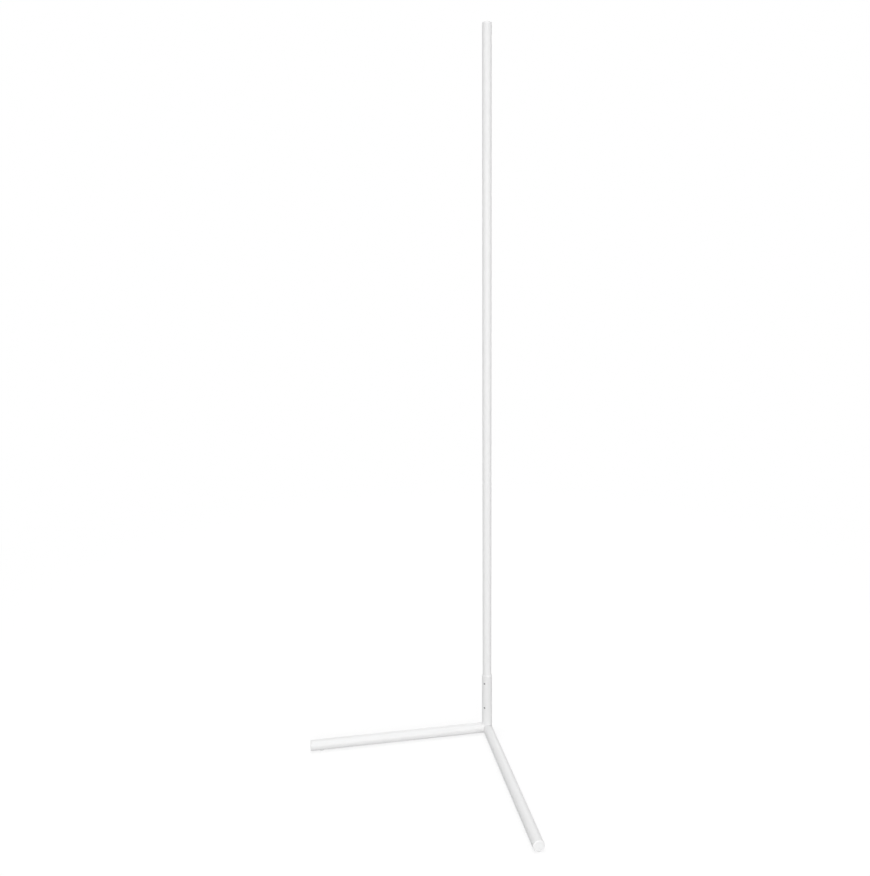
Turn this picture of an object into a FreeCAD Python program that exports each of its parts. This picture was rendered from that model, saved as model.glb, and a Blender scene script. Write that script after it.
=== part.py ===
import FreeCAD, Part

# Corner floor lamp: a slim light pole that stands in a round socket on two legs at a right angle.
# Millimetres. +Z is up, the origin is on the floor under the pole's axis, the legs point to the
# front (-Y) at 45 degrees to each side, and the light shines to the back (+Y), into the room's corner.

import math
import os

V = FreeCAD.Vector

# ---------------------------------------------------------------- driving sizes

# Whole lamp
LAMP_HEIGHT = 1500.0            # floor to the top of the pole's cap
LEG_REACH = 390.0               # pole axis to the outer end of a leg
LEG_SPREAD = 90.0               # angle between the two legs, degrees

# Tubes and fits (clearances are radial)
POLE_OD = 19.0                  # aluminium light pole
TUBE_WALL = 1.42                # steel tube of the socket and the legs
SOCKET_FIT = 0.08               # pole in the socket, a running fit
SPIGOT_FIT = 0.10               # hub spigot or cap in a steel tube
TUBE_EDGE = 0.4                 # small bevel round each cut tube end

# Corner hub
FOOT_RISE = 1.2                 # rubber under the tubes
ARM_SHOULDER = 3.0              # hub arm beyond the tube radius, to the butt joint
SOCKET_SPIGOT = 50.0            # spigot that carries the socket
LEG_SPIGOT = 34.0               # spigot that carries a leg
SPIGOT_WALL = 4.0
SPIGOT_LEAD_IN = 1.0            # bevel at a spigot's tip
HUB_FLOOR_GAP = 1.0             # hub bore below the power inlet

# Socket
SOCKET_LENGTH = 110.0
LOW_SCREW_UP = 36.0             # lower set screw, above the socket's bottom end
TOP_SCREW_DOWN = 17.0           # upper set screw, below the socket's top end

# M4 set screws with a flat point and a hex socket
SCREW_R = 2.0
SCREW_LENGTH = 4.0
SCREW_RECESS = 0.3              # below the tube's surface
SCREW_HEX = 2.0                 # across flats
SCREW_HEX_DEPTH = 1.8
SCREW_FIT = 0.06                # screw in its hole or dimple
GROOVE_FIT = 0.3                # screw in the turning groove of the pole's foot
LEG_SCREW_IN = 17.0             # leg screw, from the leg tube's inner end

# Leg caps and foot pads
CAP_FLANGE = 2.5
CAP_PLUG = 14.0
CAP_WALL = 1.6
CAP_BEVEL = 0.8
PAD_R = 5.0
LEG_PAD_IN = 24.0               # centre of a leg's pad, from the leg's outer end

# Power inlet at the hub's back, a round low-voltage jack
INLET_R = 4.0
INLET_SEAT = 2.0                # depth of the flat seat in the hub's back
INLET_FLANGE_R = 5.4
INLET_FLANGE = 1.2
INLET_SEAT_GAP = 0.6
INLET_BODY = 9.5                # behind the flange
INLET_HOLE_R = 2.85
INLET_HOLE_DEPTH = 9.0
INLET_PIN_R = 1.05
INLET_PIN_SUNK = 1.0            # pin tip below the mouth
INLET_PIN_ROOT = 1.2            # pin held in the jack's base
INLET_FIT = 0.05
TERMINAL_WIDTH = 3.6
TERMINAL_LENGTH = 2.9
TERMINAL_HEIGHT = 5.0

# Leads and their plug and socket
LEAD_R = 1.1
LEAD_BEND = 60.0
INLET_LEAD = 8.0                # from the jack's terminal to the lead's socket
PLUG_WIDTH = 6.0
PLUG_DEPTH = 4.6
PLUG_OFFSET = 1.0               # plug and socket in front of the bore's axis
PLUG_HOUSING = 11.0
PLUG_TONGUE = 5.0
PLUG_WALL = 0.8
PLUG_FIT = 0.1

# Foot of the pole
PROFILE_IN_SOCKET = 12.0        # aluminium inside the socket's top end
FOOT_BORE_WALL = 4.6
FOOT_TONGUE = 20.0              # D-shaped tongue that goes up into the aluminium
FOOT_SCREW_UP = 6.0             # its screw, above the aluminium's bottom end
FOOT_SCREW_R = 1.25
FOOT_SCREW_HEAD_R = 2.3
FOOT_SCREW_LENGTH = 8.0
FOOT_SCREW_SLOT = 0.6
FOOT_SCREW_SLOT_DEPTH = 0.5

# Aluminium profile: a round tube with a wide mouth at the back and a shelf across it
PROFILE_WALL = 1.6
SHELF_FACE = 1.2                # shelf face behind the pole's axis
SHELF_THICKNESS = 1.4
MOUTH_HALF_ANGLE = 50.0         # degrees each side of straight back
LIP_DEPTH = 0.7                 # lip that the diffuser snaps behind
LIP_SPAN = 8.0                  # degrees

# Snap-in diffuser
DIFFUSER_WALL = 1.3
SNAP_LEG = 0.8
SNAP_FIT = 0.1
SNAP_NECK = 10.0                # degrees
SNAP_BARB = 4.0                 # degrees

# Joiner inside the pole
JOINER_LENGTH = 80.0
JOINER_FIT = 0.1
JOINER_BEVEL = 0.8
JOINER_SCREWS_DOWN = (14.0, 32.0)   # below the pole's seam
JOINER_SCREW_R = 1.5
JOINER_SCREW_LENGTH = 4.0
JOINER_SCREW_RECESS = 0.1
JOINER_SCREW_HEX = 1.5
JOINER_SCREW_HEX_DEPTH = 1.4

# Top cap of the pole
TOP_CAP_FLANGE = 2.0
TOP_CAP_TONGUE = 12.0
TOP_CAP_BEVEL = 0.5

# Controller board, light strip and light packages
BOARD_UP = 4.0                  # above the aluminium's bottom end
BOARD_LENGTH = 36.0
BOARD_WIDTH = 8.0
BOARD_THICKNESS = 1.0
BOARD_LEAD_LAP = 6.0            # lead lies this far on the board
CHIP_SIZES = ((5.0, 5.0, 0.9), (3.0, 3.0, 2.0), (4.0, 2.5, 1.2))   # width, length, height
CHIP_GAP = 3.0
STRIP_WIDTH = 8.0
STRIP_THICKNESS = 0.3
STRIP_GAP = 2.0                 # board to strip
STRIP_END_GAP = 3.0             # below the top cap
SEAM_GAP = 0.5                  # strip end to the pole's seam
LED_SIDE = 5.0
LED_HEIGHT = 1.6
LED_CORNER = 0.8
LED_PITCH = 1000.0 / 60
LED_END = 8.0                   # first and last package from the strip's free length
JUMPER_WIDTH = 0.9              # flat wire, soldered down at both ends
JUMPER_THICKNESS = 0.25
JUMPER_PITCH = 2.2
JUMPER_COUNT = 3
JUMPER_LAP = 1.5

# Plug and socket that join the two strips at the seam
LINK_WIDTH = 7.0
LINK_HEIGHT = 3.0
LINK_LENGTH = 10.0
LINK_TONGUE = 5.0
LINK_WALL = 0.7
LINK_FIT = 0.1

# ---------------------------------------------------------------- places worked out from them

POLE_R = POLE_OD / 2
BORE_R = POLE_R + SOCKET_FIT
TUBE_R = BORE_R + TUBE_WALL
SPIGOT_R = BORE_R - SPIGOT_FIT
HUB_BORE_R = SPIGOT_R - SPIGOT_WALL
LEG_AXIS_Z = FOOT_RISE + TUBE_R
HUB_ARM = TUBE_R + ARM_SHOULDER

SOCKET_BOTTOM = LEG_AXIS_Z + HUB_ARM
SOCKET_TOP = SOCKET_BOTTOM + SOCKET_LENGTH
SPIGOT_TOP = SOCKET_BOTTOM + SOCKET_SPIGOT
LOW_SCREW_Z = SOCKET_BOTTOM + LOW_SCREW_UP
TOP_SCREW_Z = SOCKET_TOP - TOP_SCREW_DOWN

PROFILE_BOTTOM = SOCKET_TOP - PROFILE_IN_SOCKET
PROFILE_TOP = LAMP_HEIGHT - TOP_CAP_FLANGE
SEAM_Z = (PROFILE_BOTTOM + PROFILE_TOP) / 2
PROFILE_INNER_R = POLE_R - PROFILE_WALL
SHELF_BACK = SHELF_FACE - SHELF_THICKNESS

BOARD_BOTTOM = PROFILE_BOTTOM + BOARD_UP
BOARD_TOP = BOARD_BOTTOM + BOARD_LENGTH
BOARD_FACE = SHELF_FACE + BOARD_THICKNESS
STRIP_FACE = SHELF_FACE + STRIP_THICKNESS
STRIP_BOTTOM = BOARD_TOP + STRIP_GAP
STRIP_TOP = PROFILE_TOP - STRIP_END_GAP

INLET_FACE = TUBE_R - INLET_SEAT
INLET_BACK = INLET_FACE - INLET_BODY
TERMINAL_TOP = LEG_AXIS_Z + TERMINAL_HEIGHT / 2

CENTRE = V(0, 0, LEG_AXIS_Z)    # where the axes of the legs and the socket meet
FRONT, BACK, UP, DOWN = V(0, -1, 0), V(0, 1, 0), V(0, 0, 1), V(0, 0, -1)
CUT_PAST = 5.0                  # how far a cutting tool runs past the solid

parts = {}                      # node name: shape


# ---------------------------------------------------------------- shared shapes

def rod(radius, start, direction, length):
    """A round bar from a point, along a direction."""
    return Part.makeCylinder(radius, length, start, direction)


def tapered(radius_start, radius_end, start, direction, length):
    """A cone's stretch, from one radius to another."""
    return Part.makeCone(radius_start, radius_end, length, start, direction)


def block(width, depth, height, centre_x, low_y, low_z):
    """A box centred across X, that starts at low_y and low_z."""
    return Part.makeBox(width, depth, height, V(centre_x - width / 2, low_y, low_z))


def placed(shape, position, direction):
    """A shape made at the origin along +Z, turned to a direction and moved."""
    copy = shape.copy()
    copy.Placement = FreeCAD.Placement(position, FreeCAD.Rotation(UP, direction))
    return copy


def hexagon(flats, height):
    """A hexagonal prism on the XY plane."""
    radius = flats / math.sqrt(3)
    corners = [V(radius * math.cos(math.radians(60 * i)), radius * math.sin(math.radians(60 * i)), 0)
               for i in range(6)]
    return Part.Face(Part.makePolygon(corners + corners[:1])).extrude(UP * height)


def beveled_bar(radius, length, bevel, start, direction):
    """A round bar whose far end has a bevel."""
    shank = rod(radius, V(0, 0, 0), UP, length - bevel)
    tip = tapered(radius, radius - bevel, V(0, 0, length - bevel), UP, bevel)
    return placed(shank.fuse(tip).removeSplitter(), start, direction)


def round_edges(shape):
    """The full circles among a shape's edges."""
    return [e for e in shape.Edges if len(e.Vertexes) == 1 and e.Curve.TypeId == "Part::GeomCircle"]


def tube(outer_r, inner_r, length, bevel):
    """A straight tube on +Z with a small bevel round both outer ends."""
    bar = rod(outer_r, V(0, 0, 0), UP, length)
    bar = bar.makeChamfer(bevel, round_edges(bar))
    return bar.cut(rod(inner_r, V(0, 0, -CUT_PAST), UP, length + 2 * CUT_PAST))


def polar(radius, angle):
    """A point of the pole's section: the angle is in degrees from straight back (+Y), towards -X."""
    return V(-radius * math.sin(math.radians(angle)), radius * math.cos(math.radians(angle)), 0)


def sector(inner_r, outer_r, angle_from, angle_to):
    """A ring's sector as a flat face in the pole's section."""
    middle = (angle_from + angle_to) / 2
    outer = Part.Arc(polar(outer_r, angle_from), polar(outer_r, middle), polar(outer_r, angle_to))
    inner = Part.Arc(polar(inner_r, angle_to), polar(inner_r, middle), polar(inner_r, angle_from))
    side_to = Part.LineSegment(polar(outer_r, angle_to), polar(inner_r, angle_to))
    side_from = Part.LineSegment(polar(inner_r, angle_from), polar(outer_r, angle_from))
    return Part.Face(Part.Wire([outer.toShape(), side_to.toShape(), inner.toShape(), side_from.toShape()]))


def both_sides(inner_r, outer_r, angle_from, angle_to):
    """The same sector on the left and on the right of the pole."""
    return [sector(inner_r, outer_r, angle_from, angle_to),
            sector(inner_r, outer_r, -angle_to, -angle_from)]


def d_section(radius, flat_y):
    """The part of a disc that lies in front of a flat."""
    reach = 2 * radius
    disc = Part.Face(Part.Wire(Part.makeCircle(radius)))
    front = Part.makePlane(2 * reach, reach, V(-reach, flat_y - reach, 0))
    return disc.common(front)


def back_section(radius, flat_y):
    """The part of a disc that lies behind a flat."""
    reach = 2 * radius
    disc = Part.Face(Part.Wire(Part.makeCircle(radius)))
    return disc.common(Part.makePlane(2 * reach, reach, V(-reach, flat_y, 0)))


def raised(section, bottom, top):
    """A flat section of the pole, extruded from one height to another."""
    face = section.copy()
    face.translate(V(0, 0, bottom))
    solid = face.extrude(V(0, 0, top - bottom))
    return solid.removeSplitter()


def on_both_legs(front_piece):
    """A piece made on the front axis, turned onto the left leg and onto the right leg."""
    left, right = front_piece.copy(), front_piece.copy()
    left.rotate(V(0, 0, 0), UP, -LEG_SPREAD / 2)
    right.rotate(V(0, 0, 0), UP, LEG_SPREAD / 2)
    return left, right


def set_screw(radius, length, hex_flats, hex_depth):
    """A set screw on +Z: its hex socket is at the origin, and its flat point is at the far end."""
    return rod(radius, V(0, 0, 0), UP, length).cut(hexagon(hex_flats, hex_depth))


def screw_hole(radius, length):
    """The hole that a set screw fills, on +Z, open towards -Z."""
    return rod(radius + SCREW_FIT, V(0, 0, -CUT_PAST), UP, CUT_PAST + length + SCREW_FIT)


def bent_lead(radius, y_to, z_from, z_bent, z_to, bend):
    """A round lead that goes up the axis, shifts back to y_to by two tangent arcs that end at z_bent,
    and goes up again."""
    turn = math.acos(1 - y_to / (2 * bend))
    z_bend = z_bent - 2 * bend * math.sin(turn)

    def arc(y, z, centre_y, axis):
        section = Part.Face(Part.Wire(Part.makeCircle(radius, V(0, y, z), UP)))
        return section.revolve(V(0, centre_y, z), axis, math.degrees(turn))

    return rod(radius, V(0, 0, z_from), UP, z_bend - z_from).fuse([
        arc(0, z_bend, bend, V(-1, 0, 0)),
        arc(y_to, z_bent, y_to - bend, V(-1, 0, 0)),
        rod(radius, V(0, y_to, z_bent), UP, z_to - z_bent)])


def mated_housings(width, depth, length, tongue, wall, fit, low_y, joint_z):
    """A socket below joint_z and a plug above it, whose tongue goes down into the socket."""
    low = block(width, depth, length, 0, low_y, joint_z - length)
    high = block(width, depth, length, 0, low_y, joint_z)

    def inner(inset, height):
        return block(width - 2 * inset, depth - 2 * inset, height, 0, low_y + inset, joint_z - height)

    return low.cut(inner(wall, tongue + fit)), high.fuse(inner(wall + fit, tongue)).removeSplitter()


# ---------------------------------------------------------------- base: hub, socket and legs

def socket_screw_places():
    """Where the socket's two set screws start, lower first: on the front, under the tube's surface."""
    return [V(0, SCREW_RECESS - TUBE_R, z) for z in (LOW_SCREW_Z, TOP_SCREW_Z)]


def leg_screw_place():
    """Where a leg's set screw starts, for a leg on the front axis: at the tube's underside."""
    return V(0, -(HUB_ARM + LEG_SCREW_IN), LEG_AXIS_Z - TUBE_R + SCREW_RECESS)


def set_screw_hole(place, direction):
    return placed(screw_hole(SCREW_R, SCREW_LENGTH), place, direction)


def corner_hub():
    """Three arms at right angles that meet in a ball, each with a spigot, cored from its end."""
    up_arm = rod(TUBE_R, CENTRE, UP, HUB_ARM)
    up_spigot = beveled_bar(SPIGOT_R, SOCKET_SPIGOT, SPIGOT_LEAD_IN, V(0, 0, SOCKET_BOTTOM), UP)
    leg_start = V(0, -HUB_ARM, LEG_AXIS_Z)
    leg_arms = on_both_legs(rod(TUBE_R, CENTRE, FRONT, HUB_ARM))
    leg_spigots = on_both_legs(beveled_bar(SPIGOT_R, LEG_SPIGOT, SPIGOT_LEAD_IN, leg_start, FRONT))
    body = up_arm.fuse([Part.makeSphere(TUBE_R, CENTRE), up_spigot, *leg_arms, *leg_spigots])

    bore_floor = LEG_AXIS_Z - INLET_R - HUB_FLOOR_GAP
    lead_way = rod(HUB_BORE_R, V(0, 0, bore_floor), UP, SPIGOT_TOP + CUT_PAST - bore_floor)
    leg_cores = on_both_legs(rod(HUB_BORE_R, leg_start, FRONT, LEG_SPIGOT + CUT_PAST))
    seat = rod(INLET_FLANGE_R + INLET_SEAT_GAP, V(0, INLET_FACE, LEG_AXIS_Z), BACK, INLET_SEAT + CUT_PAST)
    inlet_way = rod(INLET_R + INLET_FIT, V(0, 0, LEG_AXIS_Z), BACK, INLET_FACE + CUT_PAST)
    low_screw = set_screw_hole(socket_screw_places()[0], BACK)
    leg_screws = on_both_legs(set_screw_hole(leg_screw_place(), UP))
    return body.cut([lead_way, *leg_cores, seat, inlet_way, low_screw, *leg_screws]).removeSplitter()


def socket_sleeve():
    """The round socket that the pole stands in, with its two screw holes in front."""
    sleeve = tube(TUBE_R, BORE_R, SOCKET_LENGTH, TUBE_EDGE)
    sleeve.translate(V(0, 0, SOCKET_BOTTOM))
    return sleeve.cut([set_screw_hole(place, BACK) for place in socket_screw_places()])


def leg_tube():
    """A leg on the front axis, with the hole of its screw underneath."""
    length = LEG_REACH - CAP_FLANGE - HUB_ARM
    leg = placed(tube(TUBE_R, BORE_R, length, TUBE_EDGE), V(0, -HUB_ARM, LEG_AXIS_Z), FRONT)
    return leg.cut(set_screw_hole(leg_screw_place(), UP))


def leg_cap():
    """A push-in cap on the front axis: a disc with a beveled rim and a hollow plug."""
    plug_r = BORE_R - SPIGOT_FIT
    disc = beveled_bar(TUBE_R, CAP_FLANGE, CAP_BEVEL, V(0, 0, 0), UP)
    plug = rod(plug_r, V(0, 0, 0), DOWN, CAP_PLUG)
    hollow = rod(plug_r - CAP_WALL, V(0, 0, 0), DOWN, CAP_PLUG + CUT_PAST)
    cap = disc.fuse(plug).removeSplitter().cut(hollow)
    return placed(cap, V(0, CAP_FLANGE - LEG_REACH, LEG_AXIS_Z), FRONT)


def foot_pad(carrier, y):
    """A rubber pad with a flat bottom on the floor, hollowed on top to fit what it carries."""
    return rod(PAD_R, V(0, y, 0), UP, LEG_AXIS_Z).cut(carrier)


def make_base():
    parts["corner_hub"] = corner_hub()
    parts["socket_sleeve"] = socket_sleeve()
    parts["left_leg_tube"], parts["right_leg_tube"] = on_both_legs(leg_tube())
    parts["leg_caps"] = Part.makeCompound(on_both_legs(leg_cap()))

    leg_bar = rod(TUBE_R, CENTRE, FRONT, LEG_REACH)
    hub_ball = Part.makeSphere(TUBE_R, CENTRE)
    parts["hub_foot_pad"] = foot_pad([hub_ball, *on_both_legs(leg_bar)], 0)
    leg_pad = foot_pad(leg_bar, LEG_PAD_IN - LEG_REACH)
    parts["leg_foot_pads"] = Part.makeCompound(on_both_legs(leg_pad))

    screw = set_screw(SCREW_R, SCREW_LENGTH, SCREW_HEX, SCREW_HEX_DEPTH)
    socket_screws = [placed(screw, place, BACK) for place in socket_screw_places()]
    parts["socket_set_screws"] = Part.makeCompound(socket_screws)
    parts["leg_set_screws"] = Part.makeCompound(on_both_legs(placed(screw, leg_screw_place(), UP)))


# ---------------------------------------------------------------- power inlet and leads

def make_inlet():
    mouth = INLET_FACE + INLET_FLANGE
    pin_tip = mouth - INLET_PIN_SUNK
    hole_floor = mouth - INLET_HOLE_DEPTH
    flange = rod(INLET_FLANGE_R, V(0, INLET_FACE, LEG_AXIS_Z), BACK, INLET_FLANGE)
    barrel = rod(INLET_R, V(0, INLET_BACK, LEG_AXIS_Z), BACK, INLET_BODY)
    terminal = block(TERMINAL_WIDTH, TERMINAL_LENGTH, TERMINAL_HEIGHT,
                     0, INLET_BACK - TERMINAL_LENGTH, TERMINAL_TOP - TERMINAL_HEIGHT)
    hole = rod(INLET_HOLE_R, V(0, hole_floor, LEG_AXIS_Z), BACK, INLET_HOLE_DEPTH + CUT_PAST)
    pin_root = V(0, hole_floor - INLET_PIN_ROOT, LEG_AXIS_Z)
    pin = rod(INLET_PIN_R, pin_root, BACK, pin_tip - hole_floor + INLET_PIN_ROOT)
    parts["power_inlet"] = flange.fuse([barrel, terminal]).removeSplitter().cut([hole, pin])
    parts["inlet_pin"] = pin


def make_leads():
    terminal_y = INLET_BACK - TERMINAL_LENGTH / 2
    parts["inlet_lead"] = rod(LEAD_R, V(0, terminal_y, TERMINAL_TOP), UP, INLET_LEAD)

    joint_z = TERMINAL_TOP + INLET_LEAD + PLUG_HOUSING
    housings = mated_housings(PLUG_WIDTH, PLUG_DEPTH, PLUG_HOUSING, PLUG_TONGUE, PLUG_WALL, PLUG_FIT,
                              -PLUG_OFFSET - PLUG_DEPTH / 2, joint_z)
    parts["lead_socket"], parts["lead_plug"] = housings

    board_y = BOARD_FACE + LEAD_R
    parts["pole_lead"] = bent_lead(LEAD_R, board_y, joint_z + PLUG_HOUSING, PROFILE_BOTTOM,
                                   BOARD_BOTTOM + BOARD_LEAD_LAP, LEAD_BEND)


# ---------------------------------------------------------------- pole

def profile_section():
    """The aluminium's section: round wall, shelf, front channel, light channel, mouth and lips."""
    wall = Part.Face(Part.Wire(Part.makeCircle(POLE_R)))
    front_channel = d_section(PROFILE_INNER_R, SHELF_BACK)
    lips = both_sides(PROFILE_INNER_R - LIP_DEPTH, PROFILE_INNER_R + PROFILE_WALL / 2,
                      MOUTH_HALF_ANGLE, MOUTH_HALF_ANGLE + LIP_SPAN)
    light_channel = back_section(PROFILE_INNER_R, SHELF_FACE).cut(lips)
    mouth = sector(PROFILE_INNER_R - PROFILE_WALL, POLE_R + PROFILE_WALL,
                   -MOUTH_HALF_ANGLE, MOUTH_HALF_ANGLE)
    return wall.cut(front_channel).cut(light_channel).cut(mouth)


def tongue_section():
    """What fits the aluminium's front channel: the joiner and the tongues of the foot and the top cap."""
    return d_section(PROFILE_INNER_R - JOINER_FIT, SHELF_BACK - JOINER_FIT)


def diffuser_section():
    """The diffuser's section: a curved cover that closes the mouth, and two legs with barbs."""
    side_gap = math.degrees(SNAP_FIT / POLE_R)
    cover_edge = MOUTH_HALF_ANGLE - side_gap
    leg_outer = PROFILE_INNER_R - LIP_DEPTH - SNAP_FIT
    leg_inner = leg_outer - SNAP_LEG
    lip_end = MOUTH_HALF_ANGLE + LIP_SPAN + math.degrees(SNAP_FIT / PROFILE_INNER_R)
    barb_end = lip_end + SNAP_BARB
    cover = sector(POLE_R - DIFFUSER_WALL, POLE_R, -cover_edge, cover_edge)
    necks = both_sides(leg_inner, POLE_R - DIFFUSER_WALL / 2, cover_edge - SNAP_NECK, cover_edge)
    legs = both_sides(leg_inner, leg_outer, cover_edge - SNAP_NECK, barb_end)
    barbs = both_sides(leg_inner, PROFILE_INNER_R - SNAP_FIT, lip_end, barb_end)
    return cover.fuse([*necks, *legs, *barbs]).removeSplitter()


def turning_groove():
    """The ring cut round the pole's foot that the upper set screw's point runs in."""
    half_width = SCREW_R + GROOVE_FIT
    start = V(0, 0, TOP_SCREW_Z - half_width)
    core_r = TUBE_R - SCREW_RECESS - SCREW_LENGTH - GROOVE_FIT
    ring = rod(POLE_R + CUT_PAST, start, UP, 2 * half_width)
    return ring.cut(rod(core_r, start, UP, 2 * half_width))


def foot_screw_shapes():
    """The countersunk screw of the pole's foot and its hole, both from the front."""
    head = FOOT_SCREW_HEAD_R - FOOT_SCREW_R
    corner_r = POLE_R - SCREW_FIT
    face_y = -math.sqrt(corner_r ** 2 - (FOOT_SCREW_HEAD_R + SCREW_FIT) ** 2)
    place = V(0, face_y, PROFILE_BOTTOM + FOOT_SCREW_UP)

    def screw_form(clearance, outside):
        cone = tapered(FOOT_SCREW_HEAD_R + clearance, FOOT_SCREW_R + clearance, V(0, 0, 0), UP, head)
        shank = rod(FOOT_SCREW_R + clearance, V(0, 0, 0), UP, FOOT_SCREW_LENGTH + clearance)
        form = cone.fuse(shank)
        return form.fuse(rod(FOOT_SCREW_HEAD_R + clearance, V(0, 0, 0), DOWN, outside)) if outside else form

    slot = block(2 * FOOT_SCREW_HEAD_R + CUT_PAST, FOOT_SCREW_SLOT, FOOT_SCREW_SLOT_DEPTH,
                 0, -FOOT_SCREW_SLOT / 2, 0)
    screw = screw_form(0, 0).removeSplitter().cut(slot)
    return placed(screw, place, BACK), placed(screw_form(SCREW_FIT, CUT_PAST), place, BACK)


def make_foot(screw, hole):
    """The pole's foot turns in the socket: it has a bore for the lead, a groove and a D-shaped tongue."""
    barrel = rod(POLE_R, V(0, 0, SPIGOT_TOP), UP, PROFILE_BOTTOM - SPIGOT_TOP)
    lead_way = rod(POLE_R - FOOT_BORE_WALL, V(0, 0, SPIGOT_TOP - CUT_PAST), UP,
                   PROFILE_BOTTOM - SPIGOT_TOP + CUT_PAST)
    tongue = raised(tongue_section(), PROFILE_BOTTOM, PROFILE_BOTTOM + FOOT_TONGUE)
    parts["pole_foot"] = barrel.cut([lead_way, turning_groove()]).fuse(tongue).removeSplitter().cut(hole)
    parts["pole_foot_screw"] = screw


def joiner_screw_places():
    return [V(0, SHELF_FACE - JOINER_SCREW_RECESS, SEAM_Z - down) for down in JOINER_SCREWS_DOWN]


def make_profiles(foot_hole):
    section = profile_section()
    joiner_hole = screw_hole(JOINER_SCREW_R, JOINER_SCREW_LENGTH)
    joiner_holes = [placed(joiner_hole, place, FRONT) for place in joiner_screw_places()]
    lower = raised(section, PROFILE_BOTTOM, SEAM_Z)
    parts["lower_profile"] = lower.cut([foot_hole, *joiner_holes])
    parts["upper_profile"] = raised(section, SEAM_Z, PROFILE_TOP)

    cover = diffuser_section()
    parts["lower_diffuser"] = raised(cover, PROFILE_BOTTOM, SEAM_Z)
    parts["upper_diffuser"] = raised(cover, SEAM_Z, PROFILE_TOP)

    joiner = raised(tongue_section(), SEAM_Z - JOINER_LENGTH / 2, SEAM_Z + JOINER_LENGTH / 2)
    ends = [e for f in joiner.Faces if abs(f.normalAt(0, 0).z) > 1 / 2 for e in f.Edges]
    parts["profile_joiner"] = joiner.makeChamfer(JOINER_BEVEL, ends).cut(joiner_holes)
    screw = set_screw(JOINER_SCREW_R, JOINER_SCREW_LENGTH, JOINER_SCREW_HEX, JOINER_SCREW_HEX_DEPTH)
    screws = [placed(screw, place, FRONT) for place in joiner_screw_places()]
    parts["joiner_screws"] = Part.makeCompound(screws)


def make_top_cap():
    disc = beveled_bar(POLE_R, TOP_CAP_FLANGE, TOP_CAP_BEVEL, V(0, 0, PROFILE_TOP), UP)
    tongue = raised(tongue_section(), PROFILE_TOP - TOP_CAP_TONGUE, PROFILE_TOP)
    parts["top_cap"] = disc.fuse(tongue).removeSplitter()


# ---------------------------------------------------------------- electronics in the pole

def led_package():
    """One light package on the XZ plane, centred, its face to +Y, with one cut corner as its mark."""
    half = LED_SIDE / 2
    cut = half - LED_CORNER
    corners = [V(-half, 0, -half), V(half, 0, -half), V(half, 0, cut), V(cut, 0, half), V(-half, 0, half)]
    return Part.Face(Part.makePolygon(corners + corners[:1])).extrude(BACK * LED_HEIGHT)


def led_row(low, high):
    """Packages at an even pitch, centred on a strip's free length."""
    count = int((high - low - 2 * LED_END) // LED_PITCH) + 1
    first = (low + high - (count - 1) * LED_PITCH) / 2
    row = []
    for i in range(count):
        package = led_package()
        package.translate(V(0, STRIP_FACE, first + i * LED_PITCH))
        row.append(package)
    return Part.makeCompound(row)


def make_electronics():
    parts["controller_board"] = block(BOARD_WIDTH, BOARD_THICKNESS, BOARD_LENGTH,
                                      0, SHELF_FACE, BOARD_BOTTOM)
    chips = []
    z = BOARD_BOTTOM + BOARD_LEAD_LAP + CHIP_GAP
    for width, length, height in CHIP_SIZES:
        chips.append(block(width, height, length, 0, BOARD_FACE, z))
        z += length + CHIP_GAP
    parts["controller_chips"] = Part.makeCompound(chips)

    jumper_line = [(BOARD_FACE, BOARD_TOP - JUMPER_LAP), (BOARD_FACE, BOARD_TOP),
                   (STRIP_FACE, STRIP_BOTTOM), (STRIP_FACE, STRIP_BOTTOM + JUMPER_LAP)]
    under = [V(0, y, z) for y, z in jumper_line]
    over = [corner + BACK * JUMPER_THICKNESS for corner in reversed(under)]
    jumper = Part.Face(Part.makePolygon(under + over + under[:1])).extrude(V(JUMPER_WIDTH, 0, 0))
    jumpers = []
    for i in range(JUMPER_COUNT):
        shift = (i - (JUMPER_COUNT - 1) / 2) * JUMPER_PITCH - JUMPER_WIDTH / 2
        jumpers.append(placed(jumper, V(shift, 0, 0), UP))
    parts["jumper_wires"] = Part.makeCompound(jumpers)

    lower_top, upper_bottom = SEAM_Z - SEAM_GAP, SEAM_Z + SEAM_GAP
    parts["lower_led_strip"] = block(STRIP_WIDTH, STRIP_THICKNESS, lower_top - STRIP_BOTTOM,
                                     0, SHELF_FACE, STRIP_BOTTOM)
    parts["upper_led_strip"] = block(STRIP_WIDTH, STRIP_THICKNESS, STRIP_TOP - upper_bottom,
                                     0, SHELF_FACE, upper_bottom)
    parts["lower_leds"] = led_row(STRIP_BOTTOM, SEAM_Z - LINK_LENGTH)
    parts["upper_leds"] = led_row(SEAM_Z + LINK_LENGTH, STRIP_TOP)
    link = mated_housings(LINK_WIDTH, LINK_HEIGHT, LINK_LENGTH, LINK_TONGUE, LINK_WALL, LINK_FIT,
                          STRIP_FACE, SEAM_Z)
    parts["strip_socket"], parts["strip_plug"] = link


# ---------------------------------------------------------------- build and write

def build():
    make_base()
    make_inlet()
    make_leads()
    foot_screw, foot_hole = foot_screw_shapes()
    make_foot(foot_screw, foot_hole)
    make_profiles(foot_hole)
    make_top_cap()
    make_electronics()
    os.makedirs("parts", exist_ok=True)
    for name, shape in parts.items():
        solids = shape.Solids
        sound = shape.isValid() and bool(solids) and all(s.isClosed() for s in solids)
        shape.exportStep("parts/" + name + ".step")
        print(name, len(solids), "solid(s)", round(sum(s.Volume for s in solids), 1), "mm3",
              "" if sound else "NOT SOUND")


build()
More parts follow.
